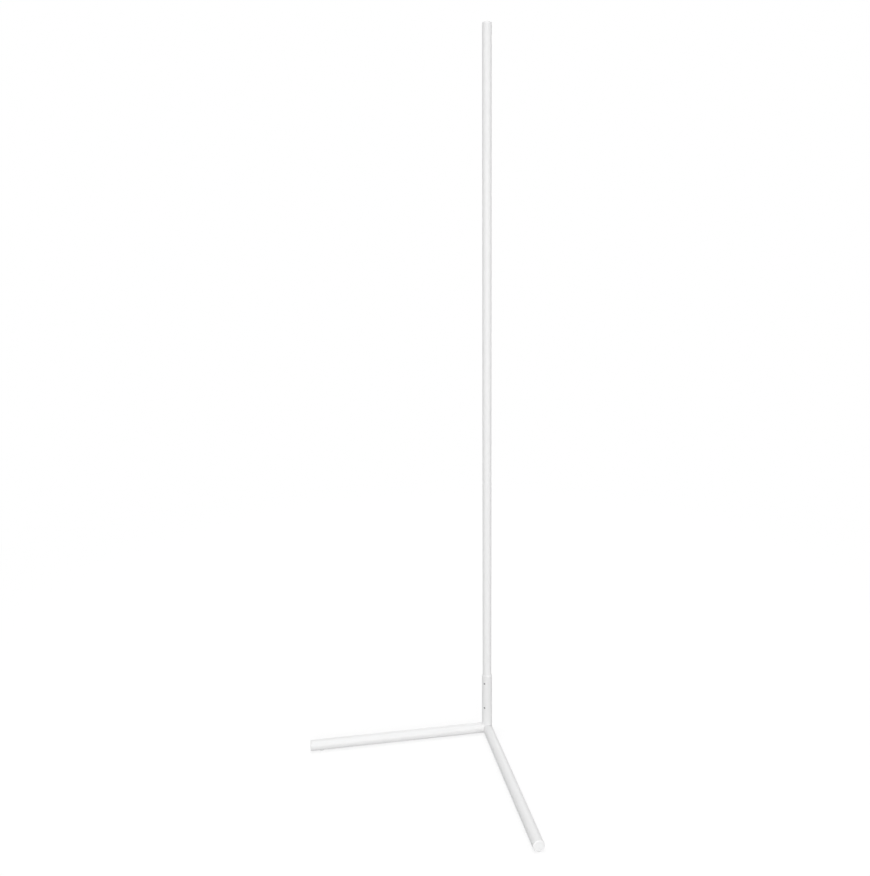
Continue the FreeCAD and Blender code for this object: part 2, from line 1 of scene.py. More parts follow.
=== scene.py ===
# %% [markdown]
# # A slim corner floor lamp
#
# The lamp is a round light pole in a short round socket, on two round legs that meet at a right angle.
# Everything on the outside is white: powder-coated steel tubes, a powder-coated aluminium profile, and a few
# plastic caps. Only the opal cover on the pole's back has colour, because it is lit.
#
# Such an object is almost all outline. What makes it look real is clean round silhouettes, true edge bevels,
# crisp mitres, and paint that isn't perfectly smooth. This notebook builds those one by one, on top of a packed
# CAD model that fixes every size and place.

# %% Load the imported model
import math

import bmesh
import bpy
from mathutils import Matrix, Vector


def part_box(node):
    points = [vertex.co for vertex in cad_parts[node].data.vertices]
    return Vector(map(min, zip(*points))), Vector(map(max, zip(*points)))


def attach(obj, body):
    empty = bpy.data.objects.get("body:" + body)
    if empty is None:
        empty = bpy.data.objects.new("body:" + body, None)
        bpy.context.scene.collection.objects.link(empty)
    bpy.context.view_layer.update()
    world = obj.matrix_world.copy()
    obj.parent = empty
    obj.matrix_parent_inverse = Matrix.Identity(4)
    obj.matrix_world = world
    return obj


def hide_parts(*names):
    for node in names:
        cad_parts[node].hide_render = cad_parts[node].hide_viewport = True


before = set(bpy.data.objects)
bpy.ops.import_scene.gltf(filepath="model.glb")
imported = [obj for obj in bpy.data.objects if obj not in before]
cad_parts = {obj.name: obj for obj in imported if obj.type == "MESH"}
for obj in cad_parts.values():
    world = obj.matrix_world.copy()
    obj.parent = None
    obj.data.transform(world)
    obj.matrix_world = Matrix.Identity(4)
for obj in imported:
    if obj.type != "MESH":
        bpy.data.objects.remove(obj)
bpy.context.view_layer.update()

scene = bpy.context.scene
MM = 0.001
UP, DOWN, BACK = Vector((0, 0, 1)), Vector((0, 0, -1)), Vector((0, 1, 0))

# %% [markdown]
# ## The camera
#
# The camera came from the photograph's own edges: pole, socket, legs and screws were measured in pixels, and
# one camera was fitted to them all. It stands a little to the right of the pole, about a metre high, and looks
# slightly down. The picture's middle isn't where the lens points, so the sensor is shifted a little, as on a
# view camera.

# %% Place the camera
CAMERA_PLACE = Vector((0.8730, -1.4286, 1.0033))
CAMERA_YAW, CAMERA_PITCH, CAMERA_ROLL = 35.163, 8.427, -0.553     # degrees
LENS_MM, SENSOR_MM = 33.07, 36
PICTURE_HEIGHT, SHIFT_DOWN = 876, 40                              # pixels

camera_data = bpy.data.cameras.new("camera")
camera_data.lens = LENS_MM
camera_data.sensor_width = SENSOR_MM
camera_data.shift_y = -SHIFT_DOWN / PICTURE_HEIGHT
camera = bpy.data.objects.new("camera", camera_data)
camera.matrix_world = (
    Matrix.Translation(CAMERA_PLACE)
    @ Matrix.Rotation(math.radians(CAMERA_YAW), 4, "Z")
    @ Matrix.Rotation(math.radians(90 - CAMERA_PITCH), 4, "X")
    @ Matrix.Rotation(math.radians(CAMERA_ROLL), 4, "Z"))
scene.collection.objects.link(camera)
scene.camera = camera
print("camera at", list(CAMERA_PLACE), "lens", LENS_MM, "mm")

# %% [markdown]
# ## Sizes from the frame
#
# Nothing is measured twice. The box of each CAD node gives the tube and pole radii, the height of the leg axes
# and the ends of every length. Only wall thicknesses and fits, which a box can't show, are written here.

# %% Read the sizes
def node_span(node, axis):
    """Lowest and highest value of a node along an axis, in metres."""
    low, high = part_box(node)
    return low[axis], high[axis]


def radius_of(node):
    """Half the width of an upright round node."""
    low, high = node_span(node, 0)
    return (high - low) / 2


TUBE_R, POLE_R = radius_of("socket_sleeve"), radius_of("top_cap")
SOCKET_BOTTOM, SOCKET_TOP = node_span("socket_sleeve", 2)
HUB_BOTTOM, SPIGOT_TOP = node_span("corner_hub", 2)
AXIS_Z = HUB_BOTTOM + TUBE_R
ARM = SOCKET_BOTTOM - AXIS_Z
PROFILE_BOTTOM, SEAM = node_span("lower_profile", 2)
PROFILE_TOP = node_span("upper_profile", 2)[1]
LAMP_TOP = node_span("top_cap", 2)[1]

# %% Legs, walls and fits
CENTRE = Vector((0, 0, AXIS_Z))
LEG_TURN = math.radians(45)
LEFT, RIGHT = (Vector((side * math.sin(LEG_TURN), -math.cos(LEG_TURN), 0)) for side in (-1, 1))
LEG_REACH = 390 * MM
TUBE_WALL, SLIDE_FIT = 1.42 * MM, 0.1 * MM
BORE_R = TUBE_R - TUBE_WALL
SPIGOT_R = BORE_R - SLIDE_FIT
LEG_SPIGOT = 34 * MM
print(f"tube radius {TUBE_R / MM:.2f} mm, pole radius {POLE_R / MM:.2f} mm, leg axis {AXIS_Z / MM:.1f} mm up, "
      f"seam {SEAM / MM:.1f} mm up")

# %% [markdown]
# ## A few small tools
#
# Turned and drawn parts are solids of revolution, so most pieces here start as one outline that is spun.
# `lathed` takes (radius, height) corners in metres and spins them round Z. `combined` joins or cuts two meshes
# with the Boolean modifier, which is how a screw hole is drilled. `finished` makes an object of a mesh: it
# merges doubles, turns faces outwards, and shades it smooth except at true edges. Then it hangs the piece on
# its
# CAD body and hides the CAD nodes that it stands for.

# %% Spin an outline
ROUND_STEPS = 96
MERGE = MM / 1000                # points closer than this are one point


def merged(shape, distance=MERGE):
    """Merges doubles and turns the faces outwards."""
    bmesh.ops.remove_doubles(shape, verts=shape.verts, dist=distance)
    bmesh.ops.recalc_face_normals(shape, faces=shape.faces)
    return shape


def lathed(outline, steps=ROUND_STEPS):
    """A closed outline of (radius, height) corners, spun round Z."""
    shape = bmesh.new()
    corners = [shape.verts.new((radius, 0, height)) for radius, height in outline]
    edges = [shape.edges.new(pair) for pair in zip(corners, corners[1:] + corners[:1])
             if pair[0].co.x > 0 or pair[1].co.x > 0]
    bmesh.ops.spin(shape, geom=corners + edges, cent=(0, 0, 0), axis=UP, angle=2 * math.pi, steps=steps,
                   use_merge=True)
    return merged(shape)


# %% Bevel a rim, move a shape
RIM_NEAR = MM / 100              # how near to its place a rim is found


def bevel_rims(shape, places, width, segments):
    """Bevels the round rims at the given (radius, height) places."""
    def on_rim(edge, radius, height):
        return all(abs(vert.co.xy.length - radius) < RIM_NEAR and abs(vert.co.z - height) < RIM_NEAR
                   for vert in edge.verts)

    rims = [edge for edge in shape.edges if any(on_rim(edge, *place) for place in places)]
    bmesh.ops.bevel(shape, geom=rims, affect="EDGES", offset=width, segments=segments, profile=0.5, material=-1)
    return shape


def moved(shape, place, direction=UP):
    """Turns a shape from +Z to a direction and moves it."""
    turn = UP.rotation_difference(direction).to_matrix().to_4x4()
    bmesh.ops.transform(shape, matrix=Matrix.Translation(place) @ turn, verts=shape.verts)
    return shape


def everything(shape):
    """All points, edges and faces of a shape, to be cut by a plane."""
    return shape.verts[:] + shape.edges[:] + shape.faces[:]


# %% Join and cut
def as_object(shape, name):
    """An object with the shape's mesh."""
    mesh = bpy.data.meshes.new(name)
    shape.to_mesh(mesh)
    shape.free()
    piece = bpy.data.objects.new(name, mesh)
    scene.collection.objects.link(piece)
    return piece


def combined(shape, tool, operation):
    """The first shape joined with (UNION) or cut by (DIFFERENCE) the second."""
    base, cutter = as_object(shape, "base"), as_object(tool, "cutter")
    modifier = base.modifiers.new("combined", "BOOLEAN")
    modifier.object, modifier.operation, modifier.solver = cutter, operation, "EXACT"
    result = bmesh.new()
    result.from_object(base, bpy.context.evaluated_depsgraph_get())
    bmesh.ops.remove_doubles(result, verts=result.verts, dist=MERGE)
    for used in (base, cutter):
        mesh = used.data
        bpy.data.objects.remove(used)
        bpy.data.meshes.remove(mesh)
    return result


def joined(*shapes):
    """Several shapes that don't touch, in one mesh."""
    whole = bmesh.new()
    for shape in shapes:
        mesh = bpy.data.meshes.new("part")
        shape.to_mesh(mesh)
        shape.free()
        whole.from_mesh(mesh)
        bpy.data.meshes.remove(mesh)
    return whole


# %% Finish a piece
SHARP_ANGLE = math.radians(28)


def finished(shape, name, body, nodes, material):
    """Makes the object of a shape, on a CAD body, in place of some CAD nodes."""
    merged(shape)
    for face in shape.faces:
        face.smooth = True
    for edge in shape.edges:
        edge.smooth = edge.is_manifold and edge.calc_face_angle(0) < SHARP_ANGLE
    open_edges = sum(not edge.is_manifold for edge in shape.edges)
    piece = as_object(shape, name)
    piece.data.materials.append(material)
    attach(piece, body)
    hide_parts(*nodes)
    print(f"{name}: {len(piece.data.polygons)} faces, {open_edges} open edges")
    return piece


# %% [markdown]
# ## Node groups for the finishes
#
# Several finishes need the same two effects. Powder paint melts into tiny soft hills, an "orange peel" a
# millimetre or so across. Drawn tube and extruded aluminium keep faint lines along their length. Each is a node
# group that puts out a height for a Bump node, and the first also a tone for the colour. Each material sets its
# own scale and strength.

# %% Helpers for shader nodes
def new_group(name, inputs, outputs):
    """An empty shader group with float inputs {name: default} and outputs {name: socket type}."""
    group = bpy.data.node_groups.new(name, "ShaderNodeTree")
    for label, value in inputs.items():
        group.interface.new_socket(label, in_out="INPUT", socket_type="NodeSocketFloat").default_value = value
    for label, kind in outputs.items():
        group.interface.new_socket(label, in_out="OUTPUT", socket_type=kind)
    return group, group.nodes.new("NodeGroupInput"), group.nodes.new("NodeGroupOutput")


def add_group(tree, group, values):
    """A group placed in a material, with its inputs set."""
    node = tree.nodes.new("ShaderNodeGroup")
    node.node_tree = group
    for label, value in values.items():
        node.inputs[label].default_value = value
    return node


def add_node(tree, kind, links=None, **values):
    """A node with its properties or input values set, and its inputs linked."""
    node = tree.nodes.new(kind)
    for name, value in values.items():
        if name in node.bl_rna.properties and name != "inputs":
            setattr(node, name, value)
        else:
            node.inputs[name.replace("_", " ")].default_value = value
    for name, output in (links or {}).items():
        tree.links.new(output, node.inputs[name])
    return node


def math_node(tree, operation, first, second=0.0):
    """A Math node on two inputs, each a number or another node's output."""
    node = tree.nodes.new("ShaderNodeMath")
    node.operation = operation
    for socket, value in zip(node.inputs, (first, second)):
        if isinstance(value, (int, float)):
            socket.default_value = value
        else:
            tree.links.new(value, socket)
    return node.outputs[0]


# %% Orange peel of powder paint
DUST_FINER = 4.3                 # dust is this much finer than the hills
CLOUD_SCALE = 14.0               # slow drift of the tone, per metre


def make_paint_grain():
    """Soft hills with a finer dust on them. Scale is hills per metre, and Tint is how far the tone varies."""
    group, given, result = new_group(
        "paint grain", {"Scale": 700, "Dust": 0.35, "Tint": 0.02},
        {"Height": "NodeSocketFloat", "Tone": "NodeSocketFloat"})
    place = group.nodes.new("ShaderNodeTexCoord").outputs["Object"]
    hills = add_node(group, "ShaderNodeTexNoise", {"Vector": place, "Scale": given.outputs["Scale"]},
                     Detail=1.0, Roughness=0.4)
    fine_scale = math_node(group, "MULTIPLY", given.outputs["Scale"], DUST_FINER)
    dust = add_node(group, "ShaderNodeTexNoise", {"Vector": place, "Scale": fine_scale},
                    Detail=1.0, Roughness=0.5)
    clouds = add_node(group, "ShaderNodeTexNoise", {"Vector": place}, Scale=CLOUD_SCALE,
                      Detail=2.0, Roughness=0.6)
    dusted = math_node(group, "MULTIPLY", dust.outputs[0], given.outputs["Dust"])
    height = math_node(group, "ADD", hills.outputs[0], dusted)
    drift = math_node(group, "SUBTRACT", clouds.outputs[0], 0.5)
    tone = math_node(group, "ADD", math_node(group, "MULTIPLY", drift, given.outputs["Tint"]), 1.0)
    group.links.new(height, result.inputs["Height"])
    group.links.new(tone, result.inputs["Tone"])
    return group


PAINT_GRAIN = make_paint_grain()


# %% Lines along a drawn or extruded part
def make_draw_lines():
    """Noise that is hundreds of times finer across the part than along it. The length runs along Z."""
    group, given, result = new_group(
        "draw lines", {"Across": 2500, "Along": 6}, {"Height": "NodeSocketFloat"})
    place = group.nodes.new("ShaderNodeTexCoord").outputs["Object"]
    across, along = given.outputs["Across"], given.outputs["Along"]
    stretch = add_node(group, "ShaderNodeCombineXYZ", {"X": across, "Y": across, "Z": along})
    scaled = add_node(group, "ShaderNodeVectorMath", {0: place, 1: stretch.outputs[0]}, operation="MULTIPLY")
    lines = add_node(group, "ShaderNodeTexNoise", {"Vector": scaled.outputs[0]}, Scale=1.0,
                     Detail=2.0, Roughness=0.6)
    group.links.new(lines.outputs[0], result.inputs["Height"])
    return group


DRAW_LINES = make_draw_lines()

# %% [markdown]
# ## The lamp's materials
#
# Every material has a Principled shader with its fixed numbers set on the sockets. Only what changes over the
# surface comes in through nodes: a tone that drifts by a percent or two, a height for the bump, and a roughness
# that follows the grain.

# %% One maker for paint, plastic and metal
ROUGH_SWING = 0.06               # how far the grain moves the roughness, up or down
LOW_GRAIN, HIGH_GRAIN = 0.3, 0.9


def surface(name, colour, roughness, grain, bump_mm, lines=None, metallic=0.0, specular=0.5):
    """A Principled material with grain (Scale, Dust, Tint) and maybe lines (Across, Along) in its bump."""
    material = bpy.data.materials.new(name)
    material.use_nodes = True
    tree = material.node_tree
    shader = tree.nodes["Principled BSDF"]
    shader.inputs["Metallic"].default_value = metallic
    shader.inputs["Specular IOR Level"].default_value = specular

    skin = add_group(tree, PAINT_GRAIN, dict(zip(("Scale", "Dust", "Tint"), grain)))
    height = skin.outputs["Height"]
    if lines:
        drawn = add_group(tree, DRAW_LINES, dict(zip(("Across", "Along"), lines)))
        height = math_node(tree, "ADD", height, drawn.outputs["Height"])

    tinted = add_node(tree, "ShaderNodeVectorMath", {"Scale": skin.outputs["Tone"]}, operation="SCALE")
    tinted.inputs[0].default_value = colour
    tree.links.new(tinted.outputs[0], shader.inputs["Base Color"])
    swing = add_node(tree, "ShaderNodeMapRange", {"Value": height}, From_Min=LOW_GRAIN, From_Max=HIGH_GRAIN,
                     To_Min=roughness - ROUGH_SWING, To_Max=roughness + ROUGH_SWING)
    tree.links.new(swing.outputs[0], shader.inputs["Roughness"])
    bump = add_node(tree, "ShaderNodeBump", {"Height": height}, Strength=1.0, Distance=bump_mm * MM)
    tree.links.new(bump.outputs[0], shader.inputs["Normal"])
    print(f"{name}: roughness {roughness}, bump {bump_mm} mm")
    return material


# %% White paints and plastics
TUBE_PAINT = surface("tube_powder_coat", (0.85, 0.85, 0.85), 0.44, grain=(750, 0.35, 0.03), bump_mm=0.08,
                     specular=0.35)
HUB_PAINT = surface("hub_powder_coat", (0.85, 0.85, 0.85), 0.46, grain=(600, 0.35, 0.035), bump_mm=0.10,
                    specular=0.35)
POLE_PAINT = surface("pole_powder_coat", (0.87, 0.87, 0.87), 0.40, grain=(900, 0.3, 0.025), bump_mm=0.05,
                     lines=(1800, 4), specular=0.35)
CAP_PLASTIC = surface("cap_plastic", (0.87, 0.87, 0.87), 0.42, grain=(2600, 0.5, 0.02), bump_mm=0.02,
                      specular=0.35)
JACK_PLASTIC = surface("jack_plastic", (0.82, 0.82, 0.81), 0.36, grain=(1500, 0.4, 0.02), bump_mm=0.004)
CONNECTOR_PLASTIC = surface("connector_nylon", (0.80, 0.79, 0.72), 0.34, grain=(1800, 0.4, 0.03),
                            bump_mm=0.004)
LEAD_JACKET = surface("lead_jacket", (0.84, 0.84, 0.82), 0.38, grain=(1200, 0.3, 0.02), bump_mm=0.004)
PAD_RUBBER = surface("pad_rubber", (0.84, 0.84, 0.83), 0.62, grain=(1600, 0.5, 0.04), bump_mm=0.01,
                     specular=0.3)

# %% Metals and electronics
BARE_ALUMINIUM = surface("bare_aluminium", (0.78, 0.79, 0.80), 0.34, grain=(1400, 0.3, 0.03), bump_mm=0.003,
                         lines=(4000, 30), metallic=1.0)
SCREW_STEEL = surface("screw_steel", (0.30, 0.30, 0.31), 0.38, grain=(2200, 0.4, 0.08), bump_mm=0.004,
                      metallic=1.0)
PIN_METAL = surface("pin_metal", (0.80, 0.70, 0.46), 0.24, grain=(2400, 0.3, 0.04), bump_mm=0.002,
                    metallic=1.0)
BOARD_MASK = surface("board_solder_mask", (0.78, 0.80, 0.76), 0.40, grain=(1700, 0.5, 0.05), bump_mm=0.006)
STRIP_FILM = surface("strip_film", (0.86, 0.86, 0.84), 0.46, grain=(1400, 0.5, 0.03), bump_mm=0.005)
CHIP_BODY = surface("chip_body", (0.035, 0.035, 0.038), 0.55, grain=(5200, 0.6, 0.10), bump_mm=0.004)
LED_BODY = surface("led_body", (0.90, 0.87, 0.70), 0.30, grain=(2500, 0.4, 0.06), bump_mm=0.003)

# %% [markdown]
# ## The lit cover
#
# The opal cover is lit from inside by a row of light packages. The photograph shows what it sheds: green over
# the top third, nearly white in the middle, then pink and violet towards the foot. The colour is a ramp along
# the pole, with a faint brighter spot at each package. Milky plastic still shows some of its own pale colour,
# so the base colour and the emission add up to the colour that is seen.

# %% The colour of the light along the pole
LIGHT_STOPS = (                  # height in metres, colour
    (0.12, (0.96, 0.52, 0.80)), (0.30, (0.98, 0.50, 0.66)), (0.50, (0.94, 0.62, 0.80)),
    (0.68, (0.93, 0.90, 0.92)), (0.85, (0.86, 0.95, 0.66)), (1.10, (0.50, 0.88, 0.32)),
    (1.50, (0.40, 0.84, 0.26)))
LED_PITCH = 1000 / 60 * MM


def make_strip_light():
    """The light's colour by height. It is brighter by Spot at each package, and dimmer by Edge at the rims."""
    group, given, result = new_group(
        "strip light", {"First": 0.17, "Spot": 0.10, "Edge": 0.15, "Half width": 0.007},
        {"Colour": "NodeSocketColor"})
    place = group.nodes.new("ShaderNodeTexCoord").outputs["Object"]
    axes = add_node(group, "ShaderNodeSeparateXYZ", {0: place})
    side, height = axes.outputs["X"], axes.outputs["Z"]
    low, high = LIGHT_STOPS[0][0], LIGHT_STOPS[-1][0]
    along = add_node(group, "ShaderNodeMapRange", {"Value": height}, From_Min=low, From_Max=high)
    ramp = add_node(group, "ShaderNodeValToRGB", {0: along.outputs[0]})
    ramp.color_ramp.interpolation = "EASE"
    stops = ramp.color_ramp.elements
    for index, (at, colour) in enumerate(LIGHT_STOPS):
        stop = stops[index] if index < 2 else stops.new((at - low) / (high - low))
        stop.position, stop.color = (at - low) / (high - low), (*colour, 1)
    turns = math_node(group, "DIVIDE", math_node(group, "SUBTRACT", height, given.outputs["First"]), LED_PITCH)
    wave = math_node(group, "COSINE", math_node(group, "MULTIPLY", turns, 2 * math.pi))
    off_middle = math_node(group, "POWER", math_node(group, "DIVIDE", side, given.outputs["Half width"]), 2)
    spot = math_node(group, "MULTIPLY", math_node(group, "SUBTRACT", 1.0, off_middle),
                     math_node(group, "MULTIPLY", wave, given.outputs["Spot"]))
    rim = math_node(group, "MULTIPLY", off_middle, given.outputs["Edge"])
    bright = math_node(group, "ADD", math_node(group, "SUBTRACT", spot, rim), 1.0)
    lit = add_node(group, "ShaderNodeVectorMath", {0: ramp.outputs[0], "Scale": bright}, operation="SCALE")
    group.links.new(lit.outputs[0], result.inputs["Colour"])
    return group


STRIP_LIGHT = make_strip_light()

# %% The two covers' material
MILK = (0.24, 0.24, 0.24)        # the plastic's own share of the colour
GLOW = 0.78                      # the light's share
MOUTH = 50                       # degrees: half of what the cover takes of the pole
LED_HALF = 2.5 * MM


def opal(name, leds):
    """Milky plastic that glows: a smooth satin skin over the light of a row of packages."""
    material = surface(name, MILK, 0.42, grain=(2200, 0.4, 0.02), bump_mm=0.004, specular=0.4)
    tree = material.node_tree
    shader = tree.nodes["Principled BSDF"]
    shader.inputs["Emission Strength"].default_value = GLOW
    light = add_group(tree, STRIP_LIGHT, {
        "First": node_span(leds, 2)[0] + LED_HALF, "Spot": 0.07, "Edge": 0.18,
        "Half width": POLE_R * math.sin(math.radians(MOUTH))})
    tree.links.new(light.outputs[0], shader.inputs["Emission Color"])
    return material


OPAL_LOW, OPAL_HIGH = opal("opal_lower", "lower_leds"), opal("opal_upper", "upper_leds")
print("light packages lie", round(LED_PITCH / MM, 2), "mm apart")

# %% [markdown]
# ## The corner hub
#
# Two legs and the socket meet in one casting: three round arms of the same radius that run into a ball. Two
# equal round bars always meet in a flat ellipse, and that plane halves the angle between them. So no Boolean is
# needed. One upright "finger" is spun, mirrored onto each leg's direction in the plane between them, and each
# finger is cut back to its own share by those planes. The cut edges then match exactly and merge into crisp
# mitre lines.

# %% Spin one finger: half a ball, an arm and its spigot
LEAD_IN = 1 * MM


def finger(spigot):
    """A round-ended bar on +Z from the origin, with a thinner spigot that slides into a tube."""
    quarter = ROUND_STEPS // 4
    turns = [step / quarter * math.pi / 2 for step in range(1, quarter)]
    ball = [(TUBE_R * math.sin(turn), -TUBE_R * math.cos(turn)) for turn in turns]
    rest = [(TUBE_R, 0), (TUBE_R, ARM), (SPIGOT_R, ARM), (SPIGOT_R, ARM + spigot - LEAD_IN),
            (SPIGOT_R - LEAD_IN, ARM + spigot), (0, ARM + spigot)]
    return lathed([(0, -TUBE_R), *ball, *rest])


# %% Mirror it onto the legs and cut the mitres
def mirror_between(first, second):
    """The mirror that swaps two directions."""
    normal = (first - second).normalized()
    return Matrix.Identity(4) - 2 * Matrix([[*(a * b for b in (*normal, 0))] for a in (*normal, 0)])


def own_share(shape, direction, others):
    """Cuts a finger back to the side of each bisecting plane that is its own."""
    for other in others:
        bmesh.ops.bisect_plane(shape, geom=everything(shape), dist=MERGE / 10, plane_co=(0, 0, 0),
                               plane_no=other - direction, clear_outer=True)
    return shape


spigot_up = SPIGOT_TOP - SOCKET_BOTTOM
arms = [own_share(finger(spigot_up), UP, (LEFT, RIGHT))]
for leg, other in ((LEFT, RIGHT), (RIGHT, LEFT)):
    arm = finger(LEG_SPIGOT)
    bmesh.ops.transform(arm, matrix=mirror_between(UP, leg), verts=arm.verts)
    arms.append(own_share(arm, leg, (UP, other)))
hub = merged(joined(*arms), MERGE * 5)
print("hub seams left open:", sum(not edge.is_manifold for edge in hub.edges))

# %% [markdown]
# All holes are round cuts. A Boolean dislikes edges that fall exactly on each other, so the bars that do the
# cutting are turned by half a facet against the spun shapes. Each set screw starts a little under the surface
# of the tube that it goes through: two on the socket's front, and one under each leg.

# %% Bars to cut with, and where the screws sit
SCREW_R, SCREW_LONG, SCREW_DEEP, SCREW_FIT = 2 * MM, 4 * MM, 0.3 * MM, 0.06 * MM
LOW_SCREW_UP, TOP_SCREW_DOWN, LEG_SCREW_OUT = 36 * MM, 17 * MM, 17 * MM
DRILL_OUT = 6 * MM               # the drill starts this far outside
SCREW_STEPS = 48

socket_screws = [Vector((0, SCREW_DEEP - TUBE_R, height))
                 for height in (SOCKET_BOTTOM + LOW_SCREW_UP, SOCKET_TOP - TOP_SCREW_DOWN)]
leg_screws = [CENTRE + leg * (ARM + LEG_SCREW_OUT) + DOWN * (TUBE_R - SCREW_DEEP) for leg in (LEFT, RIGHT)]


def bar(radius, start, direction, length, steps=ROUND_STEPS):
    """A plain round bar."""
    shape = bmesh.new()
    bmesh.ops.create_cone(shape, cap_ends=True, segments=steps, radius1=radius, radius2=radius, depth=length)
    bmesh.ops.rotate(shape, matrix=Matrix.Rotation(math.pi / steps, 3, "Z"), verts=shape.verts)
    return moved(shape, start + direction * length / 2, direction)


def drilled(shape, place, direction):
    """Drills a set screw's hole from outside."""
    hole = bar(SCREW_R + SCREW_FIT, place - direction * DRILL_OUT, direction,
               DRILL_OUT + SCREW_LONG + SCREW_FIT, SCREW_STEPS)
    return combined(shape, hole, "DIFFERENCE")


# %% [markdown]
# The casting is cored from the end of each spigot, so that the lead can run up from the power jack. The jack
# sits in a small flat seat at the hub's back.

# %% Core the hub, drill it and cut the jack's seat
CORE_R = SPIGOT_R - 4 * MM
CORE_DROP, CORE_LONG, CUT_PAST = 5 * MM, 90 * MM, 5 * MM
JACK_R, JACK_FLANGE_R, JACK_SEAT_R, JACK_SEAT = 4.05 * MM, 5.4 * MM, 6 * MM, 2 * MM
SEAT_LONG, JACK_WAY = 9 * MM, 20 * MM

bmesh.ops.translate(hub, vec=CENTRE, verts=hub.verts)
cuts = [bar(CORE_R, CENTRE + DOWN * CORE_DROP, UP, CORE_LONG)]
cuts += [bar(CORE_R, CENTRE + leg * ARM, leg, LEG_SPIGOT + CUT_PAST) for leg in (LEFT, RIGHT)]
cuts += [bar(JACK_SEAT_R, CENTRE + BACK * (TUBE_R - JACK_SEAT), BACK, SEAT_LONG),
         bar(JACK_R, CENTRE, BACK, JACK_WAY)]
for cut in cuts:
    hub = combined(hub, cut, "DIFFERENCE")
hub = drilled(hub, socket_screws[0], BACK)
for place in leg_screws:
    hub = drilled(hub, place, UP)
finished(hub, "hub_casting", "base", ["corner_hub"], HUB_PAINT)

# %% [markdown]
# ## Socket and legs
#
# All three are cut from the same steel tube. The ends are deburred, which leaves a small bevel that catches the
# light where one part butts against the next. A tube is a rectangle spun round an axis, with two corners
# beveled. A smooth bevel tilts the normals along its edge, and on a long wall that tilt would fade over the
# whole length. So every long wall gets one more ring of points, just before the bevel, that holds its shading
# straight.

# %% Spin a tube
TUBE_EDGE = 0.4 * MM
HOLD = 1 * MM                    # from a beveled rim to the ring that holds the shading


def tube(length):
    """A steel tube on +Z with both outer rims beveled."""
    shape = lathed([(BORE_R, 0), (TUBE_R, 0), (TUBE_R, HOLD), (TUBE_R, length - HOLD), (TUBE_R, length),
                    (BORE_R, length)])
    return bevel_rims(shape, [(TUBE_R, 0), (TUBE_R, length)], TUBE_EDGE, 2)


# %% Socket with its two screw holes
socket = moved(tube(SOCKET_TOP - SOCKET_BOTTOM), UP * SOCKET_BOTTOM)
for place in socket_screws:
    socket = drilled(socket, place, BACK)
finished(socket, "socket_tube", "base", ["socket_sleeve"], TUBE_PAINT)

# %% Two legs, each with its screw hole underneath
CAP_FLANGE = 2.5 * MM

leg_length = LEG_REACH - CAP_FLANGE - ARM
for name, leg, place in (("left", LEFT, leg_screws[0]), ("right", RIGHT, leg_screws[1])):
    leg_tube = drilled(moved(tube(leg_length), CENTRE + leg * ARM, leg), place, UP)
    finished(leg_tube, name + "_leg", "base", [name + "_leg_tube"], TUBE_PAINT)

# %% [markdown]
# ## Caps and set screws
#
# A leg ends in a push-in plastic cap: a disc as wide as the tube, with a well rounded rim, and a hollow plug
# behind it. The pole's top has a thinner one. The set screws are plain: a short bar with a flat point and a
# hexagonal socket for the key. From across the room the sockets are just two dark dots on the front.

# %% Leg caps
PLUG_R, PLUG_WALL, PLUG_LONG = SPIGOT_R, 1.6 * MM, 14 * MM
PLUG_BORE = PLUG_R - PLUG_WALL
CAP_ROUND = 1.8 * MM


def leg_cap(leg):
    """The cap at one leg's outer end."""
    shape = lathed([(0, CAP_FLANGE), (TUBE_R - CAP_ROUND - HOLD, CAP_FLANGE), (TUBE_R, CAP_FLANGE), (TUBE_R, 0),
                    (PLUG_R, 0), (PLUG_R, -PLUG_LONG), (PLUG_BORE, -PLUG_LONG), (PLUG_BORE, 0), (0, 0)])
    bevel_rims(shape, [(TUBE_R, CAP_FLANGE)], CAP_ROUND, 6)
    return moved(shape, CENTRE + leg * (LEG_REACH - CAP_FLANGE), leg)


finished(joined(leg_cap(LEFT), leg_cap(RIGHT)), "leg_end_caps", "base", ["leg_caps"],
         CAP_PLASTIC)

# %% Set screws
KEY, KEY_DEPTH = 2 * MM, 1.8 * MM
SCREW_EDGE = 0.25 * MM


def set_screw(place, direction):
    """A set screw whose hexagonal socket opens at its place."""
    shape = lathed([(0, 0), (SCREW_R, 0), (SCREW_R, SCREW_LONG), (0, SCREW_LONG)], SCREW_STEPS)
    bevel_rims(shape, [(SCREW_R, 0), (SCREW_R, SCREW_LONG)], SCREW_EDGE, 2)
    hexagon = bar(KEY / math.sqrt(3), DOWN * MM, UP, MM + KEY_DEPTH, 6)
    return moved(combined(shape, hexagon, "DIFFERENCE"), place, direction)


for name, places, direction in (("socket", socket_screws, BACK), ("leg", leg_screws, UP)):
    finished(joined(*(set_screw(place, direction) for place in places)), name + "_screws", "base",
             [name + "_set_screws"], SCREW_STEEL)

# %% [markdown]
# ## The pole
#
# The pole is an extrusion: one section, two lengths. The section is drawn as half an outline, by spinning
# single points round the axis for the arcs and extruding them for the straight runs. It is then mirrored,
# filled and extruded. Inside are a shelf for the light strip, a closed channel in front of it, and a lip on
# each side of the mouth that the cover snaps behind.

# %% Draw a section with spun points
ARC_STEP = 3.75                  # degrees


def start_line(shape, radius, angle):
    """A point of the section: angle in degrees from straight back (+Y), towards +X."""
    turn = math.radians(angle)
    return shape.verts.new((radius * math.sin(turn), radius * math.cos(turn), 0))


def arc_to(shape, vert, angle):
    """Spins a point round the axis by an angle in degrees and returns the last point."""
    steps = max(2, round(abs(angle) / ARC_STEP))
    made = bmesh.ops.spin(shape, geom=[vert], cent=(0, 0, 0), axis=UP, angle=-math.radians(angle), steps=steps)
    return next(item for item in made["geom_last"] if isinstance(item, bmesh.types.BMVert))


